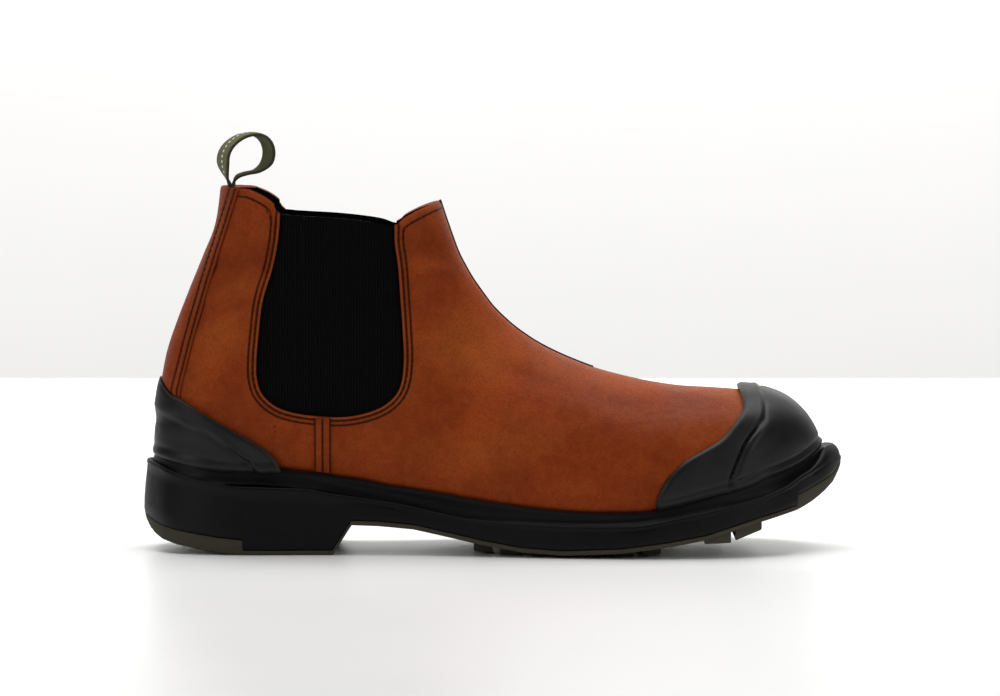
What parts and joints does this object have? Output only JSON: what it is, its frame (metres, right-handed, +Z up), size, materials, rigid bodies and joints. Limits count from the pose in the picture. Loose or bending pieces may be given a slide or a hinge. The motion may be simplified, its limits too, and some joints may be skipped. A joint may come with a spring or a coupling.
{
  "type": "pull-on ankle work boot",
  "caption": "Pull-on leather ankle work boot with elastic side panels, rubber toe cap and heel counter, black rubber sole, olive tread and a webbing pull loop.",
  "frame": {"origin": "on the floor, at the middle of the heel's flat face", "axes": "+X to the toe, +Y to the inner side of the foot, +Z up"},
  "size_m": [0.3059, 0.1088, 0.1816],
  "materials": {
    "upper_leather": "smooth pull-up leather, cognac brown, satin",
    "backstay_leather": "the same leather, a sewn strip",
    "seam_leather": "the same leather, a lapped seam",
    "elastic": "black ribbed elastic, matte",
    "cap_rubber": "black moulded rubber, satin",
    "sole_rubber": "black moulded rubber, matte",
    "tread_rubber": "dark olive rubber, matte",
    "insole_board": "black textile over foam",
    "webbing": "olive woven tape with a row of plain white dots"
  },
  "bodies": {
    "root": {"upper": "upper_leather", "backstay": "backstay_leather", "side_seam_outer": "seam_leather", "side_seam_inner": "seam_leather", "gusset_outer": "elastic", "gusset_inner": "elastic", "toe_cap": "cap_rubber", "heel_counter": "cap_rubber", "midsole": "sole_rubber", "outsole": "tread_rubber", "insole": "insole_board", "pull_loop": "webbing"}
  },
  "joints": []
}
